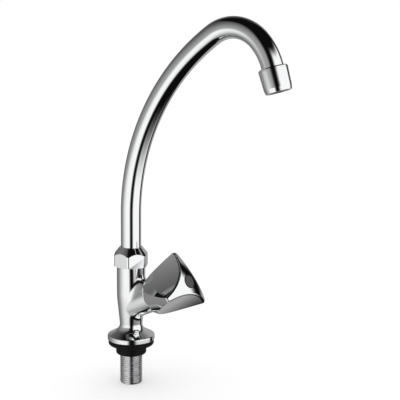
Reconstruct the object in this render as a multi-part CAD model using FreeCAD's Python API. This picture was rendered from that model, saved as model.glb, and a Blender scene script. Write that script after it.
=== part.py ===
import FreeCAD, Part
import math
import os

os.makedirs("parts", exist_ok=True)

# A deck-mounted tap for one supply: a cast body with a raked valve branch, a swan-neck spout
# that swivels in the top of the body, and a three-winged handle.
# Millimetres. Z is up, the deck is the plane z = 0, and the spout and handle point to -Y.

# Working clearances
thread_gap = 0.05          # radial, between a male and a female thread drawn as plain walls
swivel_gap = 0.05          # radial, spout spigot in the body
spindle_gap = 0.05         # radial, spindle in the bonnet
slide_gap = 0.10           # per flat, hexagon of the jumper in the bonnet
ring_gap = 0.03            # radial, sealing ring to its groove floor
socket_gap = 0.03          # radial, brazed and pressed sockets
axial_play = 0.10          # end play of the spindle
lift_gap = 0.30            # left over the jumper when the valve is fully open
thrust_gap = 0.20          # radial, spindle collar in the hexagonal hole it is pushed through
screw_hole_gap = 0.20      # radial, handle screw in the handle

# Small sizes shared by many pieces
edge_break = 0.5           # broken edges of turned pieces
beyond = 1.0               # how far a drill or cutter runs past the metal
nearness = 0.01            # how closely an edge has to lie to be picked for rounding

# Deck parts
collar_disc_radius = 21.5
collar_disc_height = 3.6
collar_edge_land = 0.5
collar_top_round = 0.8
spigot_wall = 3.77
spigot_depth = 8.9
spigot_foot_land = 1.57
spigot_rib_count = 24
spigot_rib_margin = 2.4
spigot_groove_radius = 0.3
gasket_radius = 20.7
gasket_thickness = 1.8

# Threaded tail, G 1/2
tail_thread_radius = 10.48
tail_thread_pitch = 1.814
tail_thread_depth = 1.16
tail_thread_crest = 0.35
tail_thread_relief = 0.28
tail_reach_below_deck = 37.1
tail_end_chamfer = 0.6
tail_bore_radius = 6.25
tail_engagement = 7.0
tail_washer_thickness = 1.0

# Body
flange_radius = 22.2
flange_rim_height = 4.4
flange_edge_round = 1.4
flange_foot_round = 0.5
flange_slope_deg = 28.0
neck_radius = 10.2
neck_blend = 7.5
barrel_radius = 13.35
barrel_cone_top = 47.0
barrel_blend = 60.0
barrel_top = 76.1
inlet_way_radius = 5.5
inlet_way_over_axis = 2.0
stub_wall = 1.82
stub_length = 8.0
swivel_floor_gap = 3.4
upper_way_radius = 4.0
upper_way_inset = 0.6
upper_way_over_axis = 12.4

# Valve branch, on an axis that rises towards the front
valve_axis_height = 36.55
valve_axis_rise_deg = 27.3
branch_radius = 13.5
branch_mouth = 31.55
branch_root = 3.0
branch_root_inset = 2.0
branch_blend = 8.0
branch_edge_round = 0.6
seat_floor = 8.0
seat_lip_height = 1.5
seat_lip_radius = 7.0
seat_way_start = -4.0
chamber_gap = 1.1
branch_thread_start = 19.0
branch_thread_radius = 10.5

# Bonnet of the valve
bonnet_tube_radius = 9.3
bonnet_tube_plain = 1.0
bonnet_hexagon_margin = 0.5
bonnet_hexagon_height = 5.0
bonnet_bevel_height = 1.0
bonnet_bevel_width = 2.0
bonnet_seal_thickness = 0.8
bonnet_seal_inset = 0.5
bonnet_neck_radius = 7.5
bonnet_neck_length = 9.6
thrust_cavity_depth = 3.5

# Spindle
spindle_radius = 4.0
spindle_thread_radius = 3.9
collar_thickness = 1.8
thrust_washer_thickness = 0.7
spindle_groove_depth = 1.3
spindle_groove_width = 1.8
circlip_thickness = 0.8
circlip_outer_radius = 5.6
circlip_groove_depth = 0.6
circlip_mouth = 4.0
spline_length = 8.5
spline_teeth = 20
spline_depth = 0.35
handle_screw_radius = 2.0
handle_screw_bite = 6.0

# Jumper: the block that carries the valve washer
jumper_hexagon = 11.0
jumper_disc_radius = 8.4
jumper_disc_thickness = 3.0
jumper_bore_floor = 0.5
jumper_rim_height = 1.2
jumper_rim_wall = 0.8
valve_washer_thickness = 3.0
washer_screw_head_radius = 2.9
washer_screw_head_height = 1.2
washer_screw_slot_width = 0.8
washer_screw_slot_depth = 0.6
washer_screw_radius = 1.5
washer_screw_bite = 2.1
valve_lead = 1.75
valve_turns = 2.5

# Handle
skirt_overlap = 0.4
skirt_radius = 17.9
skirt_lip_height = 1.4
skirt_lip_inset = 0.8
handle_depth = 34.5
wing_tip_radius = 31.1
dome_height = 8.2
scoop_radius = 80.0
scoop_front_depth = 13.0
handle_turn_deg = -13.8
front_edge_round = 2.2
skirt_wall = 2.2
handle_cavity_depth = 21.8
handle_cavity_end_radius = 11.5
hub_radius = 8.2
hub_gap = 0.4
spline_bush_wall = 1.6
screw_head_radius = 3.4
screw_head_height = 2.4
screw_seat_thickness = 3.0
cross_slot_length = 4.4
cross_slot_width = 0.9
cross_slot_depth = 1.4
button_radius = 6.2
button_thickness = 2.2
button_proud = 0.3
button_stem_radius = 4.2
button_stem_length = 2.6
button_edge_round = 0.5

# Swivel nut
nut_wall = 2.05
nut_height = 18.2
nut_cone_start = 10.3
nut_top_wall = 0.8
nut_edge_round = 2.7
nut_bottom_bevel_height = 0.8
nut_bottom_bevel_width = 1.6
nut_corner_turn_deg = 27.5
nut_top_hole_gap = 0.30

# Spout
tube_radius = 9.5
tube_wall = 1.0
rise_straight = 30.7
main_bend_radius = 199.7
main_bend_deg = 56.1
crown_bend_radius = 35.6
crown_bend_deg = 78.8
outlet_bend_radius = 52.3
outlet_bend_deg = 27.2
outlet_straight = 1.1
ferrule_spigot_length = 15.0
ferrule_wall = 1.2
ferrule_flange_inset = 0.2
ferrule_flange_height = 2.0
ferrule_groove_wall = 1.27
ferrule_socket_depth = 4.0
slip_ring_thickness = 1.0
ring_groove_width = 2.4
ring_section_radius = 0.95
ring_spacing = 5.5
lower_ring_height = 3.6

# Outlet
nipple_wall = 1.47
nipple_collar_height = 2.0
nipple_collar_bevel = 0.9
nipple_length = 10.2
nipple_socket_depth = 7.0
housing_thread_wall = 1.6
housing_taper = 0.6
housing_foot_height = 3.5
housing_foot_width = 0.8
housing_wall = 0.9
housing_seam = 0.15
housing_lip_height = 2.0
housing_lip_width = 0.85
outlet_washer_thickness = 1.4
outlet_washer_bore = 7.6
cartridge_wall = 1.2
cartridge_floor = 1.2
cartridge_floor_place = 3.4
aerator_chamber_height = 0.85
cartridge_hole_radius = 0.7
cartridge_hole_count = 18
cartridge_hole_circle = 6.2
screen_thickness = 0.35
screen_ledge = 0.5
grille_thickness = 1.4
grille_hole_radius = 0.85
grille_hole_spacing = 2.2
grille_rings = 3

# Radii and widths worked out from the sizes above
tail_plain_radius = tail_thread_radius - tail_thread_relief
spigot_radius = tail_thread_radius + thread_gap + spigot_wall
spigot_foot_round = spigot_wall - spigot_foot_land
collar_disc_round = collar_disc_height - collar_top_round - collar_edge_land
tube_inner_radius = tube_radius - tube_wall
tube_socket_radius = tube_radius + socket_gap
spigot_fit_radius = tube_socket_radius + ferrule_wall
swivel_bore_radius = spigot_fit_radius + swivel_gap
ring_centre_radius = spigot_fit_radius - ring_gap - ring_section_radius
ring_groove_floor = ring_centre_radius - ring_section_radius - ring_gap
ferrule_bore_radius = ring_groove_floor - ferrule_groove_wall
stub_thread_radius = swivel_bore_radius + stub_wall
ferrule_flange_radius = stub_thread_radius - ferrule_flange_inset
nut_bore_radius = stub_thread_radius + thread_gap
nut_across_flats = 2 * (nut_bore_radius + nut_wall)
nut_hole_radius = tube_radius + nut_top_hole_gap
nut_cone_top_radius = nut_hole_radius + nut_top_wall
upper_way_offset = swivel_bore_radius - upper_way_radius - upper_way_inset
branch_root_radius = branch_radius - branch_root_inset
chamber_radius = jumper_disc_radius + chamber_gap
bonnet_hexagon = 2 * (branch_thread_radius + bonnet_hexagon_margin)
bonnet_seal_radius = branch_radius - bonnet_seal_inset
collar_radius = jumper_hexagon / 2 + slide_gap - thrust_gap
nipple_thread_radius = tube_socket_radius + nipple_wall
nipple_collar_radius = nipple_thread_radius + thread_gap + housing_thread_wall
housing_foot_radius = nipple_collar_radius - housing_taper
housing_outlet_radius = housing_foot_radius - housing_foot_width
housing_cavity_radius = housing_outlet_radius - housing_wall
housing_lip_radius = housing_cavity_radius - housing_lip_width

# Heights worked out from the sizes above
flange_bottom = collar_disc_height + gasket_thickness
flange_top = flange_bottom + flange_rim_height
cone_height = (flange_radius - neck_radius) * math.tan(math.radians(flange_slope_deg))
tail_top = flange_bottom + tail_engagement
socket_top = tail_top + tail_washer_thickness
stub_top = barrel_top + stub_length
ferrule_face = stub_top + ferrule_flange_height
ferrule_end = stub_top - ferrule_spigot_length
swivel_floor = ferrule_end - swivel_floor_gap
nut_shoulder = ferrule_face + slip_ring_thickness
nut_top = barrel_top + nut_height
spout_start = ferrule_face - ferrule_socket_depth

# Places along the valve axis, from where it meets the body's axis
seat_top = seat_floor + seat_lip_height
disc_bottom = seat_top + valve_washer_thickness
disc_top = disc_bottom + jumper_disc_thickness
valve_lift = valve_lead * valve_turns
bonnet_shoulder = branch_mouth + bonnet_seal_thickness
hexagon_top = bonnet_shoulder + bonnet_hexagon_height
bonnet_top = hexagon_top + bonnet_neck_length
thrust_cavity_end = bonnet_shoulder + thrust_cavity_depth
collar_top = thrust_cavity_end - thrust_washer_thickness - axial_play
collar_bottom = collar_top - collar_thickness
bonnet_start = disc_top + valve_lift + lift_gap
spindle_tip = bonnet_start + jumper_bore_floor
jumper_top = collar_bottom - valve_lift - lift_gap
clip_bottom = bonnet_top + axial_play
spline_start = clip_bottom + circlip_thickness + axial_play
hub_start = spline_start + hub_gap
spindle_top = spline_start + spline_length
screw_seat = spindle_top + screw_seat_thickness
skirt_start = branch_mouth - skirt_overlap
wing_tip_place = skirt_start + handle_depth
handle_cavity_end = skirt_start + handle_cavity_depth
button_front = wing_tip_place + dome_height
recess_floor = button_front + button_proud - button_thickness

# Places along the outlet's axis, from the end of the bent tube
washer_end = nipple_length + outlet_washer_thickness
chamber_start = washer_end + cartridge_floor_place + cartridge_floor
grille_top = chamber_start + aerator_chamber_height + screen_thickness
housing_lip = grille_top + grille_thickness
housing_length = housing_lip + housing_lip_height

origin = FreeCAD.Vector(0, 0, 0)
across = FreeCAD.Vector(1, 0, 0)
up = FreeCAD.Vector(0, 0, 1)


def export(name, solid):
    """Write one sub-part as a STEP file."""
    solid.exportStep("parts/" + name + ".step")


def rounded_outline(points):
    """A closed outline in the XZ plane; a third number at a corner is its rounding radius."""
    corners = [FreeCAD.Vector(point[0], 0, point[1]) for point in points]
    rounds = [point[2] if len(point) > 2 else 0 for point in points]
    edges = []
    starts = []
    ends = []
    arcs = []
    for place, corner in enumerate(corners):
        if not rounds[place]:
            starts.append(corner)
            ends.append(corner)
            arcs.append(None)
            continue
        back = (corners[place - 1] - corner).normalize()
        ahead = (corners[(place + 1) % len(corners)] - corner).normalize()
        half_angle = back.getAngle(ahead) / 2
        inward = (back + ahead).normalize()
        reach = rounds[place] / math.tan(half_angle)
        middle = corner + inward * (rounds[place] / math.sin(half_angle) - rounds[place])
        starts.append(corner + back * reach)
        ends.append(corner + ahead * reach)
        arcs.append(middle)
    for place in range(len(corners)):
        if arcs[place]:
            edges.append(Part.Arc(starts[place], arcs[place], ends[place]).toShape())
        following = (place + 1) % len(corners)
        edges.append(Part.LineSegment(ends[place], starts[following]).toShape())
    return Part.Wire(edges)


def turned(points):
    """A solid turned about Z from a closed outline of (radius, height) corners."""
    return Part.Face(rounded_outline(points)).revolve(origin, up, 360)


def rod(radius, bottom, top):
    """A round bar on Z between two heights."""
    return Part.makeCylinder(radius, top - bottom, FreeCAD.Vector(0, 0, bottom))


def tube(outer, inner, bottom, top):
    """A round sleeve on Z between two heights."""
    return rod(outer, bottom, top).cut(rod(inner, bottom - beyond, top + beyond))


def hexagon(across_flats, bottom, top, turn_deg=0):
    """A six-sided bar on Z with a corner at the given angle from X."""
    corner = across_flats / 2 / math.cos(math.pi / 6)
    points = []
    for side in range(7):
        angle = math.radians(turn_deg + 60 * side)
        points.append(FreeCAD.Vector(corner * math.cos(angle), corner * math.sin(angle), bottom))
    return Part.Face(Part.makePolygon(points)).extrude(up * (top - bottom))


def sealing_ring(centre_radius, section_radius, height):
    """A round-section rubber ring about Z."""
    return Part.makeTorus(centre_radius, section_radius, FreeCAD.Vector(0, 0, height))


def round_the_axis(radius, count):
    """Evenly spaced places on a circle about Z."""
    angles = [2 * math.pi * number / count for number in range(count)]
    return [FreeCAD.Vector(radius * math.cos(angle), radius * math.sin(angle), 0) for angle in angles]


def on_valve_axis(solid):
    """Carry a piece drawn on Z to the raked axis of the valve and handle."""
    tilt = FreeCAD.Rotation(across, 90 - valve_axis_rise_deg)
    place = FreeCAD.Placement(FreeCAD.Vector(0, 0, valve_axis_height), tilt)
    return solid.transformed(place.toMatrix())


def tail_outline():
    """The outline of the threaded tail, with each thread ridge as a ring of its own."""
    root = tail_thread_radius - tail_thread_depth
    flank = (tail_thread_pitch - 2 * tail_thread_crest) / 2
    bottom = -tail_reach_below_deck
    ridge = bottom + tail_end_chamfer
    points = [(tail_bore_radius, bottom), (root, bottom)]
    while ridge + tail_thread_pitch < -spigot_depth:
        points.append((root, ridge))
        points.append((tail_thread_radius, ridge + flank))
        points.append((tail_thread_radius, ridge + flank + tail_thread_crest))
        points.append((root, ridge + tail_thread_pitch - tail_thread_crest))
        ridge += tail_thread_pitch
    points.append((root, ridge))
    points.append((tail_plain_radius, ridge))
    points.append((tail_plain_radius, tail_top))
    points.append((tail_bore_radius, tail_top))
    return points


def make_deck_parts():
    """The hollow threaded tail, its washer, and the gasket and stepped collar under the flange."""
    export("threaded_tail", turned(tail_outline()))
    socket = tail_plain_radius + thread_gap
    export("tail_washer", tube(socket - ring_gap, tail_bore_radius, tail_top, socket_top))
    hole = tail_thread_radius + thread_gap
    export("base_gasket", tube(gasket_radius, hole, collar_disc_height, flange_bottom))
    collar = turned([
        (hole, -spigot_depth),
        (spigot_radius, -spigot_depth, spigot_foot_round),
        (spigot_radius, 0),
        (collar_disc_radius, 0, collar_disc_round),
        (collar_disc_radius, collar_disc_height, collar_top_round),
        (hole, collar_disc_height),
    ])
    groove = rod(spigot_groove_radius, -spigot_depth - beyond, -spigot_rib_margin)
    half_pitch = FreeCAD.Rotation(up, 180 / spigot_rib_count)
    for place in map(half_pitch.multVec, round_the_axis(spigot_radius, spigot_rib_count)):
        collar = collar.cut(groove.translated(place))
    export("base_collar", collar)


def body_outside():
    """The outer form of the cast body: flange, waist, barrel and the branch that widens out of it."""
    barrel = turned([
        (0, flange_bottom),
        (flange_radius, flange_bottom, flange_foot_round),
        (flange_radius, flange_top, flange_edge_round),
        (neck_radius, flange_top + cone_height, neck_blend),
        (barrel_radius, barrel_cone_top, barrel_blend),
        (barrel_radius, barrel_top),
        (0, barrel_top),
    ])
    branch = turned([
        (0, branch_root - branch_root_radius),
        (branch_root_radius, branch_root - branch_root_radius, branch_root_radius - nearness),
        (branch_radius, branch_mouth, branch_edge_round),
        (0, branch_mouth),
    ])
    joined = barrel.fuse(on_valve_axis(branch))
    # Only the line where branch and barrel meet is a freeform curve; every other edge is an arc
    corner = [edge for edge in joined.Edges if edge.Curve.TypeId == "Part::GeomBSplineCurve"]
    return joined.makeFillet(branch_blend, corner)


def body_waterways():
    """The hollows of the body that run along its upright axis."""
    socket = rod(tail_plain_radius + thread_gap, flange_bottom - beyond, socket_top)
    inlet = rod(inlet_way_radius, flange_bottom, valve_axis_height + inlet_way_over_axis)
    upper = rod(upper_way_radius, valve_axis_height + upper_way_over_axis, stub_top)
    upper.translate(FreeCAD.Vector(0, -upper_way_offset, 0))
    swivel = rod(swivel_bore_radius, swivel_floor, stub_top + beyond)
    return [socket, inlet, upper, swivel]


def valve_hollow():
    """The hollow of the branch: way under the seat, seat lip, valve chamber and thread."""
    return turned([
        (0, seat_way_start),
        (inlet_way_radius, seat_way_start),
        (inlet_way_radius, seat_top),
        (seat_lip_radius, seat_top),
        (seat_lip_radius, seat_floor),
        (chamber_radius, seat_floor),
        (chamber_radius, branch_thread_start),
        (branch_thread_radius, branch_thread_start),
        (branch_thread_radius, branch_mouth + beyond),
        (0, branch_mouth + beyond),
    ])


def make_body():
    """The cast body with its waterways, seat, threads and swivel bore."""
    stub = turned([
        (0, barrel_top - beyond),
        (stub_thread_radius, barrel_top - beyond),
        (stub_thread_radius, stub_top - edge_break),
        (stub_thread_radius - edge_break, stub_top),
        (0, stub_top),
    ])
    casting = body_outside().fuse(stub)
    for hollow in body_waterways():
        casting = casting.cut(hollow)
    casting = casting.cut(on_valve_axis(valve_hollow()))
    export("tap_body", casting.removeSplitter())


def make_bonnet():
    """The brass bonnet that screws into the branch, its flat seal and the thrust washer inside it."""
    screw_radius = branch_thread_radius - thread_gap
    screw_start = bonnet_start + bonnet_tube_plain
    outside = turned([
        (0, bonnet_start),
        (bonnet_tube_radius, bonnet_start),
        (bonnet_tube_radius, screw_start),
        (screw_radius, screw_start + screw_radius - bonnet_tube_radius),
        (screw_radius, bonnet_shoulder),
        (bonnet_neck_radius, bonnet_shoulder),
        (bonnet_neck_radius, bonnet_top),
        (0, bonnet_top),
    ])
    corner = bonnet_hexagon / 2 / math.cos(math.pi / 6)
    bevel = turned([
        (0, bonnet_shoulder),
        (corner, bonnet_shoulder),
        (corner, hexagon_top - bonnet_bevel_height),
        (corner - bonnet_bevel_width, hexagon_top),
        (0, hexagon_top),
    ])
    flange = hexagon(bonnet_hexagon, bonnet_shoulder, hexagon_top).common(bevel)
    flats = jumper_hexagon + 2 * slide_gap
    solid = outside.fuse(flange).removeSplitter()
    solid = solid.cut(hexagon(flats, bonnet_start - beyond, collar_bottom - axial_play))
    solid = solid.cut(rod(flats / 2, bonnet_start, thrust_cavity_end))
    solid = solid.cut(rod(spindle_radius + spindle_gap, bonnet_start, bonnet_top + beyond))
    export("bonnet", on_valve_axis(solid))
    seal = tube(bonnet_seal_radius, branch_thread_radius + thread_gap, branch_mouth, bonnet_shoulder)
    export("bonnet_seal", on_valve_axis(seal))
    washer_start = thrust_cavity_end - thrust_washer_thickness
    washer = tube(collar_radius, spindle_radius + spindle_gap, washer_start, thrust_cavity_end)
    export("thrust_washer", on_valve_axis(washer))


def spindle_outline():
    """The outline of the spindle: screw, collar, shank, circlip groove and splined end."""
    clip_top = clip_bottom + circlip_thickness
    clip_floor = spindle_radius - circlip_groove_depth
    return [
        (0, spindle_tip),
        (spindle_thread_radius - edge_break, spindle_tip),
        (spindle_thread_radius, spindle_tip + edge_break),
        (spindle_thread_radius, collar_bottom),
        (collar_radius, collar_bottom),
        (collar_radius, collar_top),
        (spindle_radius, collar_top),
        (spindle_radius, clip_bottom),
        (clip_floor, clip_bottom),
        (clip_floor, clip_top),
        (spindle_radius, clip_top),
        (spindle_radius, spindle_top - edge_break),
        (spindle_radius - edge_break, spindle_top),
        (0, spindle_top),
    ]


def make_spindle():
    """The brass spindle, its two sealing rings and the circlip that keeps it in the bonnet."""
    spindle = turned(spindle_outline())
    floor = spindle_radius - spindle_groove_depth
    section = (spindle_groove_depth - 2 * ring_gap + spindle_gap) / 2
    middle = (thrust_cavity_end + bonnet_top) / 2
    rings = []
    for place in (middle - spindle_groove_width, middle + spindle_groove_width):
        low = place - spindle_groove_width / 2
        spindle = spindle.cut(tube(collar_radius, floor, low, low + spindle_groove_width))
        rings.append(sealing_ring(floor + ring_gap + section, section, place))
    for place in round_the_axis(spindle_radius, spline_teeth):
        spindle = spindle.cut(rod(spline_depth, spline_start, spindle_top + beyond).translated(place))
    screw_end = spindle_top - handle_screw_bite
    screw_hole = rod(handle_screw_radius + thread_gap, screw_end - edge_break, spindle_top + beyond)
    export("spindle", on_valve_axis(spindle.cut(screw_hole)))
    export("spindle_rings", on_valve_axis(Part.makeCompound(rings)))
    inner = spindle_radius - circlip_groove_depth + ring_gap
    clip = tube(circlip_outer_radius, inner, clip_bottom, clip_bottom + circlip_thickness)
    corner = FreeCAD.Vector(0, -circlip_mouth / 2, clip_bottom)
    mouth = Part.makeBox(circlip_outer_radius, circlip_mouth, circlip_thickness, corner)
    export("spindle_circlip", on_valve_axis(clip.cut(mouth)))


def make_jumper():
    """The hexagonal block that the spindle screw lifts, with its washer and screw."""
    rim_inner = jumper_disc_radius - jumper_rim_wall
    disc = rod(jumper_disc_radius, disc_bottom, disc_top)
    rim = tube(jumper_disc_radius, rim_inner, disc_bottom - jumper_rim_height, disc_bottom)
    jumper = disc.fuse(rim).fuse(hexagon(jumper_hexagon, disc_top, jumper_top)).removeSplitter()
    bore = spindle_thread_radius + thread_gap
    jumper = jumper.cut(rod(bore, disc_top + jumper_bore_floor, jumper_top + beyond))
    hole = washer_screw_radius + thread_gap
    jumper = jumper.cut(rod(hole, disc_bottom - beyond, disc_bottom + washer_screw_bite))
    export("jumper", on_valve_axis(jumper))
    washer = tube(rim_inner - socket_gap, hole, seat_top, disc_bottom)
    export("valve_washer", on_valve_axis(washer))
    head_face = seat_top - washer_screw_head_height
    screw = rod(washer_screw_head_radius, head_face, seat_top)
    screw = screw.fuse(rod(washer_screw_radius, seat_top, disc_bottom + washer_screw_bite - axial_play))
    corner = FreeCAD.Vector(-washer_screw_head_radius, -washer_screw_slot_width / 2, head_face)
    length = 2 * washer_screw_head_radius
    slot = Part.makeBox(length, washer_screw_slot_width, washer_screw_slot_depth, corner)
    export("washer_screw", on_valve_axis(screw.removeSplitter().cut(slot)))


def scoop(middle_deg):
    """The large cylinder that hollows one side of the handle between two wings."""
    run = wing_tip_place - skirt_start - skirt_lip_height
    lean = math.atan((skirt_radius - scoop_front_depth) / run)
    angle = math.radians(middle_deg)
    outward = FreeCAD.Vector(math.cos(angle), math.sin(angle), 0)
    axis = up * math.cos(lean) - outward * math.sin(lean)
    away = outward * math.cos(lean) + up * math.sin(lean)
    touch = outward * scoop_front_depth + up * wing_tip_place
    start = touch + away * scoop_radius - axis * 2 * run
    return Part.makeCylinder(scoop_radius, 4 * run, start, axis)


def on_front_rim(edge):
    """Whether an edge of the handle lies wholly in front of the wing tips' corners, off the crown."""
    middle = edge.valueAt((edge.FirstParameter + edge.LastParameter) / 2)
    spots = [vertex.Point for vertex in edge.Vertexes] + [middle]
    return all(wing_tip_place - nearness < spot.z < button_front - edge_break for spot in spots)


def handle_outside():
    """The three-winged handle without its hollows: a flared skirt, a domed front and three scoops."""
    dome_radius = (wing_tip_radius ** 2 + dome_height ** 2) / (2 * dome_height)
    half = math.asin(wing_tip_radius / dome_radius) / 2
    bow_height = button_front - dome_radius * (1 - math.cos(half))
    bow = FreeCAD.Vector(dome_radius * math.sin(half), 0, bow_height)
    crown = FreeCAD.Vector(0, 0, button_front)
    skirt = [
        FreeCAD.Vector(0, 0, skirt_start),
        FreeCAD.Vector(skirt_radius - skirt_lip_inset, 0, skirt_start),
        FreeCAD.Vector(skirt_radius, 0, skirt_start + skirt_lip_height),
        FreeCAD.Vector(wing_tip_radius, 0, wing_tip_place),
    ]
    edges = [Part.LineSegment(skirt[place], skirt[place + 1]).toShape() for place in range(3)]
    edges.append(Part.Arc(skirt[3], bow, crown).toShape())
    edges.append(Part.LineSegment(crown, skirt[0]).toShape())
    solid = Part.Face(Part.Wire(edges)).revolve(origin, up, 360)
    for wing in range(3):
        solid = solid.cut(scoop(90 + handle_turn_deg + 60 + 120 * wing))
    return solid.makeFillet(front_edge_round, [edge for edge in solid.Edges if on_front_rim(edge)])


def make_handle():
    """The hollow handle with its hub, and the plastic bush pressed in the hub."""
    cavity_start = skirt_radius - skirt_wall
    inside = turned([
        (0, skirt_start - beyond),
        (cavity_start, skirt_start - beyond),
        (cavity_start, skirt_start),
        (handle_cavity_end_radius, handle_cavity_end),
        (0, handle_cavity_end),
    ])
    handle = handle_outside().cut(inside)
    handle = handle.fuse(rod(hub_radius, hub_start, handle_cavity_end + beyond)).removeSplitter()
    bush_radius = spindle_radius + spindle_gap + spline_bush_wall
    handle = handle.cut(rod(bush_radius + socket_gap, hub_start - beyond, spindle_top + axial_play))
    handle = handle.cut(rod(handle_screw_radius + screw_hole_gap, hub_start, screw_seat + beyond))
    handle = handle.cut(rod(button_stem_radius + socket_gap, screw_seat, button_front))
    handle = handle.cut(rod(button_radius + socket_gap, recess_floor, button_front + beyond))
    export("handle", on_valve_axis(handle))
    bush = tube(bush_radius, spindle_radius + spindle_gap, hub_start, spindle_top)
    export("spline_bush", on_valve_axis(bush))


def make_handle_front():
    """The screw that draws the handle on to the spindle, and the plain index button over it."""
    head_top = screw_seat + screw_head_height
    screw = rod(screw_head_radius, screw_seat, head_top)
    screw = screw.fuse(rod(handle_screw_radius, spindle_top - handle_screw_bite, screw_seat))
    screw = screw.removeSplitter()
    corner = FreeCAD.Vector(-cross_slot_length / 2, -cross_slot_width / 2, head_top - cross_slot_depth)
    for turn in (0, 90):
        slot = Part.makeBox(cross_slot_length, cross_slot_width, cross_slot_depth, corner)
        slot.rotate(origin, up, turn)
        screw = screw.cut(slot)
    export("handle_screw", on_valve_axis(screw))
    stem_end = recess_floor - button_stem_length
    button = turned([
        (0, stem_end),
        (button_stem_radius, stem_end),
        (button_stem_radius, recess_floor),
        (button_radius, recess_floor),
        (button_radius, recess_floor + button_thickness, button_edge_round),
        (0, recess_floor + button_thickness),
    ])
    export("index_button", on_valve_axis(button))


def make_spout_nut():
    """The hexagonal nut that holds the spout's flange down on the body."""
    corner = nut_across_flats / 2 / math.cos(math.pi / 6)
    bar = hexagon(nut_across_flats, barrel_top, nut_top, nut_corner_turn_deg)
    upright = [edge for edge in bar.Edges if edge.BoundBox.ZLength > nut_height / 2]
    bar = bar.makeFillet(nut_edge_round, upright)
    envelope = turned([
        (0, barrel_top),
        (corner - nut_bottom_bevel_width, barrel_top),
        (corner, barrel_top + nut_bottom_bevel_height),
        (corner, barrel_top + nut_cone_start),
        (nut_cone_top_radius, nut_top),
        (0, nut_top),
    ])
    nut = bar.common(envelope)
    nut = nut.cut(rod(nut_bore_radius, barrel_top - beyond, nut_shoulder))
    nut = nut.cut(rod(nut_hole_radius, barrel_top, nut_top + beyond))
    export("spout_nut", nut)


def forward(heading):
    """The way the spout runs at a heading, in degrees turned from straight up towards the front."""
    turn = math.radians(heading)
    return FreeCAD.Vector(0, -math.sin(turn), math.cos(turn))


def bend_centre(spot, heading, radius):
    """The centre of a bend that starts at a spot of the spout."""
    turn = math.radians(heading)
    return spot + FreeCAD.Vector(0, -math.cos(turn), -math.sin(turn)) * radius


def spout_legs():
    """The swan neck as (size, turn) pairs: a straight's length with no turn, or a bend's radius."""
    return [
        (nut_top - spout_start + rise_straight, 0),
        (main_bend_radius, main_bend_deg),
        (crown_bend_radius, crown_bend_deg),
        (outlet_bend_radius, outlet_bend_deg),
        (outlet_straight, 0),
    ]


def leg_starts():
    """Where each leg of the swan neck starts and its heading there; the last pair is the end."""
    spot = FreeCAD.Vector(0, 0, spout_start)
    heading = 0
    found = [(spot, heading)]
    for size, turn in spout_legs():
        if turn:
            centre = bend_centre(spot, heading, size)
            spot = centre + FreeCAD.Rotation(across, turn).multVec(spot - centre)
        else:
            spot = spot + forward(heading) * size
        heading += turn
        found.append((spot, heading))
    return found


def bent_rod(radius):
    """A round bar along the whole swan neck and on to the floor of the outlet nipple's socket."""
    pieces = []
    for (size, turn), (spot, heading) in zip(spout_legs(), leg_starts()):
        disc = Part.Face(Part.Wire(Part.makeCircle(radius, spot, forward(heading))))
        if turn:
            pieces.append(disc.revolve(bend_centre(spot, heading, size), across, turn))
        else:
            pieces.append(disc.extrude(forward(heading) * size))
    end, heading = leg_starts()[-1]
    pieces.append(Part.makeCylinder(radius, nipple_socket_depth, end, forward(heading)))
    return pieces[0].fuse(pieces[1:])


def make_spout():
    """The bent tube, its brass ferrule, the slip ring and the two sealing rings."""
    export("spout_tube", bent_rod(tube_radius).cut(bent_rod(tube_inner_radius)).removeSplitter())
    ferrule = turned([
        (ferrule_bore_radius, ferrule_end),
        (spigot_fit_radius - edge_break, ferrule_end),
        (spigot_fit_radius, ferrule_end + edge_break),
        (spigot_fit_radius, stub_top),
        (ferrule_flange_radius, stub_top),
        (ferrule_flange_radius, ferrule_face),
        (tube_socket_radius, ferrule_face),
        (tube_socket_radius, spout_start),
        (ferrule_bore_radius, spout_start),
    ])
    lower_ring = ferrule_end + lower_ring_height
    rings = []
    for height in (lower_ring, lower_ring + ring_spacing):
        low = height - ring_groove_width / 2
        groove = tube(spigot_fit_radius + beyond, ring_groove_floor, low, low + ring_groove_width)
        ferrule = ferrule.cut(groove)
        rings.append(sealing_ring(ring_centre_radius, ring_section_radius, height))
    export("spout_ferrule", ferrule)
    export("spout_rings", Part.makeCompound(rings))
    export("slip_ring", tube(ferrule_flange_radius, nut_hole_radius, ferrule_face, nut_shoulder))


def on_outlet_axis(solid):
    """Carry a piece drawn on Z to the end of the spout, pointing out of it."""
    end, heading = leg_starts()[-1]
    place = FreeCAD.Placement(end, FreeCAD.Rotation(across, heading))
    return solid.transformed(place.toMatrix())


def make_outlet():
    """The threaded nipple on the spout's end, the aerator's housing and the washer between them."""
    nipple = turned([
        (tube_socket_radius, 0),
        (nipple_collar_radius - nipple_collar_bevel, 0),
        (nipple_collar_radius, nipple_collar_bevel),
        (nipple_collar_radius, nipple_collar_height),
        (nipple_thread_radius, nipple_collar_height),
        (nipple_thread_radius, nipple_length),
        (tube_inner_radius, nipple_length),
        (tube_inner_radius, nipple_socket_depth),
        (tube_socket_radius, nipple_socket_depth),
    ])
    export("outlet_nipple", on_outlet_axis(nipple))
    screwed = nipple_thread_radius + thread_gap
    housing = turned([
        (screwed, nipple_collar_height + housing_seam),
        (nipple_collar_radius, nipple_collar_height + housing_seam),
        (housing_foot_radius, housing_length - housing_foot_height),
        (housing_outlet_radius, housing_length),
        (housing_lip_radius, housing_length),
        (housing_lip_radius, housing_lip),
        (housing_cavity_radius, housing_lip),
        (housing_cavity_radius, washer_end),
        (screwed, washer_end),
    ])
    export("aerator_housing", on_outlet_axis(housing))
    washer = tube(nipple_thread_radius, outlet_washer_bore, nipple_length, washer_end)
    export("outlet_washer", on_outlet_axis(washer))


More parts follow.
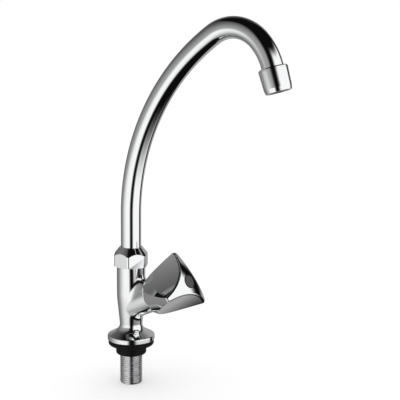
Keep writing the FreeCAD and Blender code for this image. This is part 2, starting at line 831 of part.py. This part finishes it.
def make_aerator_inside():
    """The plastic flow former with its two screens and the perforated outlet grille."""
    outer = housing_cavity_radius - socket_gap
    inner = outer - cartridge_wall
    cartridge = tube(outer, inner, washer_end, housing_lip)
    floor = rod(outer - cartridge_wall / 2, chamber_start - cartridge_floor, chamber_start)
    for place in round_the_axis(cartridge_hole_circle, cartridge_hole_count):
        floor = floor.cut(rod(cartridge_hole_radius, washer_end, housing_lip).translated(place))
    cartridge = cartridge.fuse(floor).removeSplitter()
    recess = rod(inner + screen_ledge, washer_end - beyond, washer_end + screen_thickness)
    export("aerator_cartridge", on_outlet_axis(cartridge.cut(recess)))
    screens = [
        rod(inner + screen_ledge - socket_gap, washer_end, washer_end + screen_thickness),
        rod(inner - socket_gap, grille_top - screen_thickness, grille_top),
    ]
    export("aerator_screens", on_outlet_axis(Part.makeCompound(screens)))
    grille = rod(inner - socket_gap, grille_top, housing_lip)
    for column in range(-grille_rings, grille_rings + 1):
        for row in range(-grille_rings, grille_rings + 1):
            if abs(column + row) > grille_rings:
                continue
            aside = grille_hole_spacing * (column + row / 2)
            along = grille_hole_spacing * row * math.sqrt(3) / 2
            hole = rod(grille_hole_radius, grille_top - beyond, housing_lip + beyond)
            grille = grille.cut(hole.translated(FreeCAD.Vector(aside, along, 0)))
    export("aerator_grille", on_outlet_axis(grille))


make_deck_parts()
make_body()
make_bonnet()
make_spindle()
make_jumper()
make_handle()
make_handle_front()
make_spout_nut()
make_spout()
make_outlet()
make_aerator_inside()
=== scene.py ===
import math

import bpy
from mathutils import Matrix, Vector


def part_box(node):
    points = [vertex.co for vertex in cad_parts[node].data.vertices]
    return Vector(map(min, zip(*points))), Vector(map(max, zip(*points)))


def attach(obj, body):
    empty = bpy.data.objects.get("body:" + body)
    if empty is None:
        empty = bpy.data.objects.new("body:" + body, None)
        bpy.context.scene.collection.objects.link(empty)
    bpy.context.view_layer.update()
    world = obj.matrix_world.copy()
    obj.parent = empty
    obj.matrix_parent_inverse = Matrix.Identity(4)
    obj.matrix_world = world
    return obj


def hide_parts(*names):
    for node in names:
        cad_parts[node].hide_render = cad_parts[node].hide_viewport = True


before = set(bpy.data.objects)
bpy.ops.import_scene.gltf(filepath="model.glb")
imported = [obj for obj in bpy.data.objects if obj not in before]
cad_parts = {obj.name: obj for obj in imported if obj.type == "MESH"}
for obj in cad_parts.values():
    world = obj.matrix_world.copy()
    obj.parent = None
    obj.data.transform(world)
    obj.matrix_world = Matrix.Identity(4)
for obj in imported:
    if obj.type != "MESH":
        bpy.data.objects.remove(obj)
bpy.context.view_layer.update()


# The cast body: one brass casting with a flange, an upright barrel and a raked valve branch. It
# is ground and buffed, then plated with bright nickel and a thin coat of chromium, so it mirrors
# the room, with the faint waviness that hand buffing leaves.
mm = 0.001
chromium_colour = (0.95, 0.955, 0.96)
chromium_shadow = (0.90, 0.905, 0.915)
chromium_smooth = 0.018
chromium_worn = 0.055
buffing_waves = 55
buffing_depth = 0.004 * mm
handling_marks = 900
marks_in_cloud = 6
noise_low = 0.3
noise_high = 0.7


def new_material(name):
    """A material with only the shader in it, and the nodes and links to build on."""
    material = bpy.data.materials.new(name)
    material.use_nodes = True
    tree = material.node_tree
    return material, tree.nodes["Principled BSDF"], tree.nodes, tree.links


def noise_on(nodes, links, scale, detail=2, stretch=(1, 1, 1)):
    """Soft noise fixed to the piece, drawn out along an axis where stretch is under one."""
    place = nodes.new("ShaderNodeTexCoord")
    fit = nodes.new("ShaderNodeMapping")
    fit.inputs["Scale"].default_value = stretch
    links.new(place.outputs["Object"], fit.inputs["Vector"])
    noise = nodes.new("ShaderNodeTexNoise")
    noise.inputs["Scale"].default_value = scale
    noise.inputs["Detail"].default_value = detail
    links.new(fit.outputs["Vector"], noise.inputs["Vector"])
    return noise.outputs["Fac"]


def between(nodes, links, value, low, high):
    """Spread a noise, which lies near its middle, over the range from low to high."""
    spread = nodes.new("ShaderNodeMapRange")
    links.new(value, spread.inputs["Value"])
    spread.inputs["From Min"].default_value = noise_low
    spread.inputs["From Max"].default_value = noise_high
    spread.inputs["To Min"].default_value = low
    spread.inputs["To Max"].default_value = high
    return spread.outputs["Result"]


def tinted(nodes, links, value, first, second):
    """Run a colour from first to second with a noise."""
    ramp = nodes.new("ShaderNodeValToRGB")
    links.new(value, ramp.inputs["Fac"])
    ramp.color_ramp.elements[0].position = noise_low
    ramp.color_ramp.elements[0].color = (*first, 1)
    ramp.color_ramp.elements[1].position = noise_high
    ramp.color_ramp.elements[1].color = (*second, 1)
    return ramp.outputs["Color"]


def bumped(nodes, links, height, shader, depth):
    """Let a noise stand out of the surface by the given depth."""
    bump = nodes.new("ShaderNodeBump")
    links.new(height, bump.inputs["Height"])
    bump.inputs["Strength"].default_value = 1
    bump.inputs["Distance"].default_value = depth
    links.new(bump.outputs["Normal"], shader.inputs["Normal"])


def chromium_plate(name, bright, shaded, smooth, worn, depth):
    """Bright chromium: a mirror with fine handling marks and the waves of the buffing wheel."""
    material, shader, nodes, links = new_material(name)
    shader.inputs["Metallic"].default_value = 1
    marks = noise_on(nodes, links, handling_marks, detail=4)
    links.new(tinted(nodes, links, marks, shaded, bright), shader.inputs["Base Color"])
    cloud = noise_on(nodes, links, handling_marks / marks_in_cloud, detail=3)
    links.new(between(nodes, links, cloud, smooth, worn), shader.inputs["Roughness"])
    waves = noise_on(nodes, links, buffing_waves, detail=1)
    bumped(nodes, links, waves, shader, depth)
    return material


def finish_of(material, *names):
    """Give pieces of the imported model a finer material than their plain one."""
    for name in names:
        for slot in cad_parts[name].material_slots:
            slot.material = material


body_chromium = chromium_plate("body_chromium", chromium_colour, chromium_shadow,
                               chromium_smooth, chromium_worn, buffing_depth)
finish_of(body_chromium, "tap_body")


# The collar under the flange, which centres the tap in the deck's hole, and the gasket over it.
# The collar is a ribbed black moulding with a slight sheen, the gasket dull black rubber.
moulding_black = (0.004, 0.004, 0.0045)
moulding_grey = (0.009, 0.009, 0.010)
moulding_smooth = 0.30
moulding_rough = 0.42
moulding_sheen = 0.15
moulding_grain = 2500
moulding_depth = 0.01 * mm
rubber_black = (0.006, 0.006, 0.006)
rubber_grey = (0.014, 0.0138, 0.0135)
rubber_smooth = 0.55
rubber_rough = 0.75
rubber_sheen = 0.12
rubber_grain = 3500
rubber_depth = 0.02 * mm
grains_in_cloud = 5


def dull_material(name, dark, light, smooth, rough, grain, depth, sheen=0.5):
    """A moulded surface: slightly uneven colour and gloss, with a fine grain."""
    material, shader, nodes, links = new_material(name)
    shader.inputs["Specular IOR Level"].default_value = sheen
    cloud = noise_on(nodes, links, grain / grains_in_cloud, detail=3)
    links.new(tinted(nodes, links, cloud, dark, light), shader.inputs["Base Color"])
    fine = noise_on(nodes, links, grain)
    links.new(between(nodes, links, fine, smooth, rough), shader.inputs["Roughness"])
    bumped(nodes, links, fine, shader, depth)
    return material


black_moulding = dull_material("black_moulding", moulding_black, moulding_grey,
                               moulding_smooth, moulding_rough, moulding_grain,
                               moulding_depth, sheen=moulding_sheen)
black_rubber = dull_material("black_rubber", rubber_black, rubber_grey,
                             rubber_smooth, rubber_rough, rubber_grain,
                             rubber_depth, sheen=rubber_sheen)
finish_of(black_moulding, "base_collar")
finish_of(black_rubber, "base_gasket")


# The threaded tail: a hollow steel nipple with a pipe thread cut on a lathe, zinc plated, screwed
# into the flange from below. The supply hose and the fixing nut go on it. The ridge is one long
# helix, drawn here as a profile screwed up around the axis.
tail_low, tail_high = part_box("threaded_tail")
thread_pitch = 1.814 * mm
thread_depth = 1.16 * mm
thread_crest = 0.42 * mm
thread_root = 0.30 * mm
thread_radius = tail_high.x
thread_top = -4 * mm
thread_crease = math.radians(24)
spare_turns = 2
steps_a_turn = 96
tail_bore = 6.25 * mm
tail_relief = 0.28 * mm
tail_chamfer = 0.6 * mm
cut_slack = 0.002 * mm
level_slack = 0.003 * mm
merge_slack = 0.001 * mm
zinc_dull = (0.74, 0.74, 0.75)
zinc_bright = (0.90, 0.90, 0.91)
zinc_smooth = 0.16
zinc_rough = 0.26
zinc_clouds = 400
turning_lines = 6000
turning_stretch = (0.02, 0.02, 1)
turning_depth = 0.008 * mm


def nothing_selected():
    """Leave edit mode and drop the selection, so that the next operator takes only its own."""
    if bpy.context.object and bpy.context.object.mode != "OBJECT":
        bpy.ops.object.mode_set(mode="OBJECT")
    bpy.ops.object.select_all(action="DESELECT")


def apply_all(piece):
    """Make a piece's modifiers and place part of its mesh."""
    nothing_selected()
    piece.select_set(True)
    bpy.context.view_layer.objects.active = piece
    for modifier in list(piece.modifiers):
        bpy.ops.object.modifier_apply(modifier=modifier.name)
    bpy.ops.object.transform_apply(location=True, rotation=True, scale=True)


def turn_faces_out(piece):
    """Merge what doubles up and point every face away from the metal."""
    bpy.context.view_layer.objects.active = piece
    bpy.ops.object.mode_set(mode="EDIT")
    bpy.ops.mesh.select_mode(type="VERT")
    bpy.ops.mesh.select_all(action="SELECT")
    bpy.ops.mesh.remove_doubles(threshold=merge_slack)
    bpy.ops.mesh.normals_make_consistent(inside=False)
    bpy.ops.object.mode_set(mode="OBJECT")


# The ridge's profile is one edge of a small plane, cut into the points that the profile has.
root_radius = thread_radius - thread_depth
flank = (thread_pitch - thread_crest - thread_root) / 2
thread_start = tail_low.z - spare_turns * thread_pitch
profile = [(root_radius, 0), (thread_radius, flank), (thread_radius, flank + thread_crest),
           (root_radius, 2 * flank + thread_crest), (root_radius, thread_pitch)]
nothing_selected()
bpy.ops.mesh.primitive_plane_add(size=mm)
tail = bpy.context.object
tail.name = "cut_thread_tail"
bpy.ops.object.mode_set(mode="EDIT")
bpy.ops.mesh.delete(type="ONLY_FACE")
bpy.ops.mesh.select_mode(type="VERT")
bpy.ops.mesh.select_all(action="DESELECT")
bpy.ops.object.mode_set(mode="OBJECT")
for point in tail.data.vertices:
    point.select = point.co.y > 0
bpy.ops.object.mode_set(mode="EDIT")
bpy.ops.mesh.delete(type="VERT")
bpy.ops.mesh.select_all(action="SELECT")
bpy.ops.mesh.subdivide(number_cuts=len(profile) - 2)
bpy.ops.object.mode_set(mode="OBJECT")
along_line = sorted(tail.data.vertices, key=lambda point: point.co.x)
for point, (reach, height) in zip(along_line, profile):
    point.co = (reach, 0, thread_start + height)

# It is screwed up around the axis, cut level at both ends of the thread, and chamfered at the
# lower end, where the hose goes on.
screw = tail.modifiers.new("turns", "SCREW")
screw.axis = "Z"
screw.screw_offset = thread_pitch
screw.iterations = math.ceil((thread_top - thread_start) / thread_pitch) + 1
screw.steps = steps_a_turn
screw.render_steps = steps_a_turn
screw.use_merge_vertices = False
apply_all(tail)
bpy.ops.object.mode_set(mode="EDIT")
bpy.ops.mesh.select_all(action="SELECT")
bpy.ops.mesh.remove_doubles(threshold=cut_slack)
for height, keep_above in ((tail_low.z, True), (thread_top, False)):
    bpy.ops.mesh.select_all(action="SELECT")
    bpy.ops.mesh.bisect(plane_co=(0, 0, height), plane_no=(0, 0, 1), clear_inner=keep_above,
                        clear_outer=not keep_above, threshold=cut_slack)
bpy.ops.object.mode_set(mode="OBJECT")
for point in tail.data.vertices:
    reach = math.hypot(point.co.x, point.co.y)
    widest = thread_radius - max(0, tail_low.z + tail_chamfer - point.co.z)
    if reach > widest:
        point.co.x *= widest / reach
        point.co.y *= widest / reach
    point.co.z = max(point.co.z, tail_low.z)


def add_ring_wall(radius, low, high):
    """Join to the tail an open round wall with as many sides as the thread has steps."""
    nothing_selected()
    bpy.ops.mesh.primitive_cylinder_add(vertices=steps_a_turn, radius=radius, depth=high - low,
                                        end_fill_type="NOTHING",
                                        location=(0, 0, (low + high) / 2))
    wall = bpy.context.object
    apply_all(wall)
    wall.select_set(True)
    tail.select_set(True)
    bpy.context.view_layer.objects.active = tail
    bpy.ops.object.join()


def bridge_at(height):
    """Close the flat ring between the two open edges that lie at a height."""
    bpy.ops.object.mode_set(mode="EDIT")
    bpy.ops.mesh.select_mode(type="EDGE")
    bpy.ops.mesh.select_all(action="DESELECT")
    bpy.ops.mesh.select_non_manifold(extend=False, use_wire=False, use_boundary=True,
                                     use_multi_face=False, use_non_contiguous=False,
                                     use_verts=False)
    bpy.ops.object.mode_set(mode="OBJECT")
    points = tail.data.vertices
    for edge in tail.data.edges:
        middle = (points[edge.vertices[0]].co.z + points[edge.vertices[1]].co.z) / 2
        if edge.select and abs(middle - height) > level_slack:
            edge.select = False
    bpy.ops.object.mode_set(mode="EDIT")
    bpy.ops.mesh.bridge_edge_loops()
    bpy.ops.object.mode_set(mode="OBJECT")


add_ring_wall(thread_radius - tail_relief, thread_top, tail_high.z)
bridge_at(thread_top)
add_ring_wall(tail_bore, tail_low.z, tail_high.z)
bridge_at(tail_low.z)
bridge_at(tail_high.z)
turn_faces_out(tail)
bpy.ops.object.shade_smooth_by_angle(angle=thread_crease)


def plated_steel_thread():
    """Zinc-plated steel off the lathe: uneven bright plating over fine turning lines."""
    material, shader, nodes, links = new_material("plated_steel_thread")
    shader.inputs["Metallic"].default_value = 1
    cloud = noise_on(nodes, links, zinc_clouds, detail=4)
    links.new(tinted(nodes, links, cloud, zinc_dull, zinc_bright), shader.inputs["Base Color"])
    links.new(between(nodes, links, cloud, zinc_smooth, zinc_rough), shader.inputs["Roughness"])
    lines = noise_on(nodes, links, turning_lines, detail=1, stretch=turning_stretch)
    bumped(nodes, links, lines, shader, turning_depth)
    return material


tail.data.materials.clear()
tail.data.materials.append(plated_steel_thread())
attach(tail, "body")
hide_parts("threaded_tail")


# What the tap holds inside: the bonnet, spindle and jumper of the valve are turned from brass
# bar and left plain, the rings and washers are black rubber, and the slip and thrust washers
# are white plastic.
brass_bright = (0.80, 0.63, 0.33)
brass_dull = (0.66, 0.49, 0.24)
brass_smooth = 0.22
brass_rough = 0.38
bar_clouds = 250
lathe_rings = 5000
lathe_stretch = (0.1, 0.1, 1)
lathe_depth = 0.01 * mm
plastic_white = (0.86, 0.86, 0.84)
plastic_cream = (0.80, 0.80, 0.77)
plastic_smooth = 0.38
plastic_rough = 0.50
plastic_grain = 1800
plastic_depth = 0.01 * mm


def turned_metal(name, bright, dull, smooth, rough):
    """Metal as the lathe leaves it: fine rings around the axis and a faintly uneven colour."""
    material, shader, nodes, links = new_material(name)
    shader.inputs["Metallic"].default_value = 1
    cloud = noise_on(nodes, links, bar_clouds, detail=3)
    links.new(tinted(nodes, links, cloud, dull, bright), shader.inputs["Base Color"])
    links.new(between(nodes, links, cloud, smooth, rough), shader.inputs["Roughness"])
    rings = noise_on(nodes, links, lathe_rings, detail=1, stretch=lathe_stretch)
    bumped(nodes, links, rings, shader, lathe_depth)
    return material


turned_brass = turned_metal("turned_brass", brass_bright, brass_dull, brass_smooth, brass_rough)
white_moulding = dull_material("white_moulding", plastic_cream, plastic_white,
                               plastic_smooth, plastic_rough, plastic_grain, plastic_depth)
finish_of(turned_brass, "bonnet", "spindle", "jumper", "washer_screw", "spline_bush")
finish_of(black_rubber, "bonnet_seal", "valve_washer", "spindle_rings", "tail_washer")
finish_of(white_moulding, "thrust_washer")


# The handle: a die-cast shell with three wings and a hollow skirt over the valve branch, plated
# like the body. Its scoops were buffed by hand and are a touch wavier. A screw holds it on the
# spindle, and a plain darker button, set into the front, covers the screw. A thin line of painted
# shade darkens the button's edge, where it meets its recess.
spring_bright = (0.58, 0.58, 0.60)
spring_dull = (0.46, 0.46, 0.48)
spring_smooth = 0.25
spring_rough = 0.40
handle_smooth = 0.022
handle_worn = 0.060
handle_buffing_depth = 0.006 * mm
button_colour = (0.27, 0.272, 0.275)
button_shadow = (0.22, 0.222, 0.225)
button_smooth = 0.22
button_worn = 0.28
button_buffing_depth = 0.003 * mm
button_radius = 6.2 * mm
# The button's edge line is painted shade, where the button meets its recess.
button_shade_width = 0.9 * mm
button_shade_level = 0.15
valve_height = 36.55 * mm
valve_lean = math.radians(62.7)


def paint_edge_shade(material):
    """Paint shade into the button's colour in a thin line at its edge, where the button meets its
    recess, by the distance from the valve's axis, which starts on the upright axis and leans
    forward."""
    nodes, links = material.node_tree.nodes, material.node_tree.links
    shader = nodes["Principled BSDF"]
    place = nodes.new("ShaderNodeTexCoord")
    about_axis = nodes.new("ShaderNodeMapping")
    about_axis.vector_type = "TEXTURE"
    about_axis.inputs["Location"].default_value = (0, 0, valve_height)
    about_axis.inputs["Rotation"].default_value = (valve_lean, 0, 0)
    links.new(place.outputs["Object"], about_axis.inputs["Vector"])
    across = nodes.new("ShaderNodeVectorMath")
    across.operation = "MULTIPLY"
    across.inputs[1].default_value = (1, 1, 0)
    links.new(about_axis.outputs["Vector"], across.inputs[0])
    distance = nodes.new("ShaderNodeVectorMath")
    distance.operation = "LENGTH"
    links.new(across.outputs["Vector"], distance.inputs[0])
    edge = nodes.new("ShaderNodeMapRange")
    edge.interpolation_type = "SMOOTHSTEP"
    edge.inputs["From Min"].default_value = button_radius - button_shade_width
    edge.inputs["From Max"].default_value = button_radius - button_shade_width / 2
    edge.inputs["To Min"].default_value = 1
    edge.inputs["To Max"].default_value = button_shade_level
    links.new(distance.outputs["Value"], edge.inputs["Value"])
    darker = nodes.new("ShaderNodeVectorMath")
    darker.operation = "MULTIPLY"
    plain_colour = shader.inputs["Base Color"].links[0].from_socket
    links.new(plain_colour, darker.inputs[0])
    links.new(edge.outputs["Result"], darker.inputs[1])
    links.new(darker.outputs["Vector"], shader.inputs["Base Color"])


spring_steel = turned_metal("spring_steel", spring_bright, spring_dull,
                            spring_smooth, spring_rough)
handle_chromium = chromium_plate("handle_chromium", chromium_colour, chromium_shadow,
                                 handle_smooth, handle_worn, handle_buffing_depth)
button_chromium = chromium_plate("button_chromium", button_colour, button_shadow,
                                 button_smooth, button_worn, button_buffing_depth)
# Painted shade in a thin line at the button's edge, where it meets its recess.
paint_edge_shade(button_chromium)
finish_of(handle_chromium, "handle")
finish_of(button_chromium, "index_button")
finish_of(spring_steel, "handle_screw", "spindle_circlip")


# The spout: a drawn brass tube bent three times, with a turned end brazed in at its foot, held
# down in the body by the hexagonal nut. Two rings seal it and a slip ring lets it swivel. The
# tube is drawn here as a ring carried up the straight foot and around each bend.
tube_radius = 9.46 * mm
tube_wall = 1.0 * mm
tube_sides = 96
tube_crease = math.radians(30)
tube_foot = 82.1 * mm
foot_length = 42.9 * mm
end_length = 8.1 * mm
tube_buffing_depth = 0.002 * mm

# Each bend has the radius of its middle line, its angle in degrees and the steps it is drawn in.
bends = ((199.7 * mm, 56.1, 48), (35.6 * mm, 78.8, 48), (52.3 * mm, 27.2, 18))

nothing_selected()
bpy.ops.mesh.primitive_circle_add(vertices=tube_sides, radius=tube_radius, fill_type="NGON",
                                  location=(0, 0, tube_foot))
neck = bpy.context.object
neck.name = "swan_neck_tube"
apply_all(neck)
bpy.ops.object.mode_set(mode="EDIT")
bpy.ops.mesh.select_all(action="SELECT")
bpy.ops.mesh.inset(thickness=tube_wall)
bpy.ops.mesh.delete(type="ONLY_FACE")
bpy.ops.mesh.select_all(action="SELECT")
bpy.ops.mesh.extrude_region_move(TRANSFORM_OT_translate={"value": (0, 0, foot_length)})
spot = Vector((0, 0, tube_foot + foot_length))
heading = 0
for bend_radius, bend_angle, bend_steps in bends:
    leaning = Matrix.Rotation(math.radians(heading), 3, "X")
    middle = spot + leaning @ Vector((0, -bend_radius, 0))
    bpy.ops.mesh.spin(steps=bend_steps, angle=math.radians(bend_angle), center=middle,
                      axis=(-1, 0, 0))
    spot = middle + Matrix.Rotation(math.radians(bend_angle), 3, "X") @ (spot - middle)
    heading += bend_angle
run = Matrix.Rotation(math.radians(heading), 3, "X") @ Vector((0, 0, end_length))
bpy.ops.mesh.extrude_region_move(TRANSFORM_OT_translate={"value": run})
bpy.ops.object.mode_set(mode="OBJECT")
turn_faces_out(neck)
bpy.ops.object.shade_smooth_by_angle(angle=tube_crease)

spout_chromium = chromium_plate("spout_chromium", chromium_colour, chromium_shadow,
                                chromium_smooth, chromium_worn, tube_buffing_depth)
neck.data.materials.append(spout_chromium)
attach(neck, "spout")
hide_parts("spout_tube")
finish_of(spout_chromium, "spout_nut")
finish_of(turned_brass, "spout_ferrule")
finish_of(black_rubber, "spout_rings")
finish_of(white_moulding, "slip_ring")


# The outlet: a threaded collar brazed to the tube, and the aerator screwed onto it, a plated
# shell that holds a perforated cartridge, fine wire screens and a grille. The cartridge and the
# grille are plastic mouldings, drawn in a grey that paints in the shade under the outlet.
# The cartridge and grille colours are greys that paint in the shade under the outlet.
insert_shaded_dark = (0.15, 0.15, 0.152)
insert_shaded_pale = (0.21, 0.21, 0.212)
insert_smooth = 0.40
insert_rough = 0.55
wire_dark = (0.25, 0.25, 0.26)
wire_bright = (0.62, 0.62, 0.63)
wire_smooth = 0.3
wire_rough = 0.5
wire_scale = 600
weave_depth = 0.05 * mm


def woven_wire():
    """Fine steel cloth: two families of wires that pass over and under each other."""
    material, shader, nodes, links = new_material("woven_wire")
    shader.inputs["Metallic"].default_value = 1
    place = nodes.new("ShaderNodeTexCoord")
    wires = []
    for direction in ("X", "Y"):
        wire = nodes.new("ShaderNodeTexWave")
        wire.bands_direction = direction
        wire.inputs["Scale"].default_value = wire_scale
        links.new(place.outputs["Object"], wire.inputs["Vector"])
        wires.append(wire.outputs["Fac"])
    weave = nodes.new("ShaderNodeMath")
    weave.operation = "MULTIPLY"
    links.new(wires[0], weave.inputs[0])
    links.new(wires[1], weave.inputs[1])
    woven = weave.outputs[0]
    links.new(tinted(nodes, links, woven, wire_dark, wire_bright), shader.inputs["Base Color"])
    links.new(between(nodes, links, woven, wire_rough, wire_smooth), shader.inputs["Roughness"])
    bumped(nodes, links, woven, shader, weave_depth)
    return material


# The insert's grey is painted shade from under the outlet.
shaded_insert_moulding = dull_material("shaded_insert_moulding", insert_shaded_dark, insert_shaded_pale,
                                insert_smooth, insert_rough, plastic_grain, plastic_depth)
finish_of(spout_chromium, "outlet_nipple", "aerator_housing")
finish_of(black_rubber, "outlet_washer")
finish_of(shaded_insert_moulding, "aerator_cartridge", "aerator_grille")
finish_of(woven_wire(), "aerator_screens")


# The studio: plain white surroundings light the tap evenly, and a wide white floor lies under
# it. The floor takes the tap's soft shadow and still shows white. The plating looks past it, at
# the tent of the next section.
floor_colour = (0.72, 0.72, 0.72)
floor_glow = 0.32
floor_width = 12
surroundings = bpy.data.worlds.new("white_studio")
bpy.context.scene.world = surroundings
surroundings.use_nodes = True
surroundings.node_tree.nodes["Background"].inputs["Color"].default_value = (1, 1, 1, 1)
surroundings.node_tree.nodes["Background"].inputs["Strength"].default_value = 1
surroundings.cycles.sampling_method = "NONE"

nothing_selected()
bpy.ops.mesh.primitive_plane_add(size=floor_width, location=(0, 0, tail_low.z))
floor = bpy.context.object
floor.name = "studio_floor"
apply_all(floor)
floor.visible_glossy = False


def arithmetic(nodes, links, operation, *values):
    """One arithmetic node; each value is a socket or a plain number."""
    node = nodes.new("ShaderNodeMath")
    node.operation = operation
    for socket, value in zip(node.inputs, values):
        if isinstance(value, (int, float)):
            socket.default_value = value
        else:
            links.new(value, socket)
    return node.outputs[0]


def floor_paint():
    """White paint with a glow that shows to the eye and in glass or a mirror, and lights nothing."""
    material = bpy.data.materials.new("floor_paint")
    material.use_nodes = True
    nodes, links = material.node_tree.nodes, material.node_tree.links
    nodes.clear()
    ray = nodes.new("ShaderNodeLightPath")
    seen = ray.outputs["Is Camera Ray"]
    for kind in ("Is Glossy Ray", "Is Transmission Ray"):
        seen = arithmetic(nodes, links, "MAXIMUM", seen, ray.outputs[kind])
    glow = nodes.new("ShaderNodeEmission")
    links.new(arithmetic(nodes, links, "MULTIPLY", seen, floor_glow), glow.inputs["Strength"])
    paint = nodes.new("ShaderNodeBsdfDiffuse")
    paint.inputs["Color"].default_value = (*floor_colour, 1)
    both = nodes.new("ShaderNodeAddShader")
    links.new(paint.outputs[0], both.inputs[0])
    links.new(glow.outputs[0], both.inputs[1])
    surface = nodes.new("ShaderNodeOutputMaterial")
    links.new(both.outputs[0], surface.inputs["Surface"])
    return material


floor.data.materials.append(floor_paint())


# The tent: a round screen of dark gauze about the tap, which only mirroring surfaces see. Its
# windows let the white surroundings through, and the gauze between them gives the plating its
# dark lines.
camera_azimuth = math.radians(53)
tent_radius = 700 * mm
tent_middle = (0, -40 * mm, 150 * mm)
tent_segments = 64
tent_rings = 32
gauze_density = 0.08
thin_gauze = 0.64
no_gauze = 1.00
eye_gamma = 2.2

nothing_selected()
bpy.ops.mesh.primitive_uv_sphere_add(segments=tent_segments, ring_count=tent_rings,
                                     radius=tent_radius, location=tent_middle)
tent = bpy.context.object
tent.name = "studio_tent"
apply_all(tent)
tent.visible_camera = False
tent.visible_diffuse = False
tent.visible_transmission = False
tent.visible_shadow = False


def tent_gauze():
    """Gauze that lets light straight through, by how open the tent is in that direction."""
    material = bpy.data.materials.new("tent_gauze")
    material.use_nodes = True
    nodes, links = material.node_tree.nodes, material.node_tree.links
    nodes.clear()

    # Directions from the tent's middle: around and rise are in degrees, around from the camera's
    # side to the right of the picture, and rise up from the level. Sideways is the share of the
    # direction that points to the right, from minus one to one.
    place = nodes.new("ShaderNodeTexCoord")
    aim = nodes.new("ShaderNodeMapping")
    aim.vector_type = "TEXTURE"
    aim.inputs["Location"].default_value = tent_middle
    aim.inputs["Rotation"].default_value = (0, 0, -math.pi / 2 - camera_azimuth)
    links.new(place.outputs["Object"], aim.inputs["Vector"])
    outward = nodes.new("ShaderNodeVectorMath")
    outward.operation = "NORMALIZE"
    links.new(aim.outputs["Vector"], outward.inputs[0])
    parts = nodes.new("ShaderNodeSeparateXYZ")
    links.new(outward.outputs["Vector"], parts.inputs[0])
    ahead, sideways, up = parts.outputs
    to_degrees = math.degrees(1)
    turned = arithmetic(nodes, links, "ARCTAN2", sideways, ahead)
    around = arithmetic(nodes, links, "MULTIPLY", turned, to_degrees)
    raised = arithmetic(nodes, links, "ARCSINE", up)
    rise = arithmetic(nodes, links, "MULTIPLY", raised, to_degrees)
    around_the_back = arithmetic(nodes, links, "WRAP", around, 360, 0)

    def window(level, *edges):
        """A gap in the gauze; each soft edge is a direction, where it is shut and where open."""
        gap = level
        for direction, shut, open_at in edges:
            edge = nodes.new("ShaderNodeMapRange")
            edge.interpolation_type = "SMOOTHSTEP"
            links.new(direction, edge.inputs["Value"])
            edge.inputs["From Min"].default_value = shut
            edge.inputs["From Max"].default_value = open_at
            gap = arithmetic(nodes, links, "MULTIPLY", edge.outputs["Result"], gap)
        return gap

    # A wide window low on the left, thinning out to the side, and thin gauze above it; a tall
    # window on the right; and thin gauze behind. An upright dark strip parts the two sides.
    low_left = window(no_gauze, (around, -185, -50), (sideways, -0.05, -0.40), (rise, 34, -12),
                      (rise, -130, -15))
    high_left = window(thin_gauze, (around, -250, -70), (sideways, -0.12, -0.52),
                       (rise, 115, 0), (rise, 66, 56))
    right = window(no_gauze, (sideways, 0.03, 0.46), (around, 118, 98), (rise, -58, -20),
                   (rise, 50, 34))
    behind = window(thin_gauze, (around_the_back, 120, 134), (around_the_back, 238, 190),
                    (rise, 98, 10), (rise, -95, -45))
    openness = gauze_density
    for gap in (low_left, high_left, right, behind):
        openness = arithmetic(nodes, links, "MAXIMUM", gap, openness)
    openness = arithmetic(nodes, links, "POWER", openness, eye_gamma)
    veil = nodes.new("ShaderNodeBsdfTransparent")
    links.new(openness, veil.inputs["Color"])
    surface = nodes.new("ShaderNodeOutputMaterial")
    links.new(veil.outputs[0], surface.inputs["Surface"])
    return material


tent.data.materials.append(tent_gauze())


# The camera stands to the left of the tap's front and a little above it, level with the top of
# the spout, and looks slightly down.
camera_distance = 942.4 * mm
camera_height = 304.1 * mm
camera_pan = -0.06769
camera_pitch = 0.17411
camera_roll = 0.00997
lens_length = 93.05
film_width = 36
farthest_seen = 20
bpy.ops.object.camera_add()
camera = bpy.context.object
camera.name = "photo_camera"
camera.data.lens = lens_length
camera.data.sensor_width = film_width
camera.data.clip_end = farthest_seen
stand = Vector((-camera_distance * math.sin(camera_azimuth),
                -camera_distance * math.cos(camera_azimuth), camera_height))
turn = Matrix.Rotation(camera_pan - camera_azimuth, 4, "Z")
tilt = Matrix.Rotation(math.pi / 2 - camera_pitch, 4, "X")
roll = Matrix.Rotation(camera_roll, 4, "Z")
camera.matrix_world = Matrix.Translation(stand) @ turn @ tilt @ roll
bpy.context.scene.camera = camera
bpy.context.scene.view_settings.view_transform = "Standard"
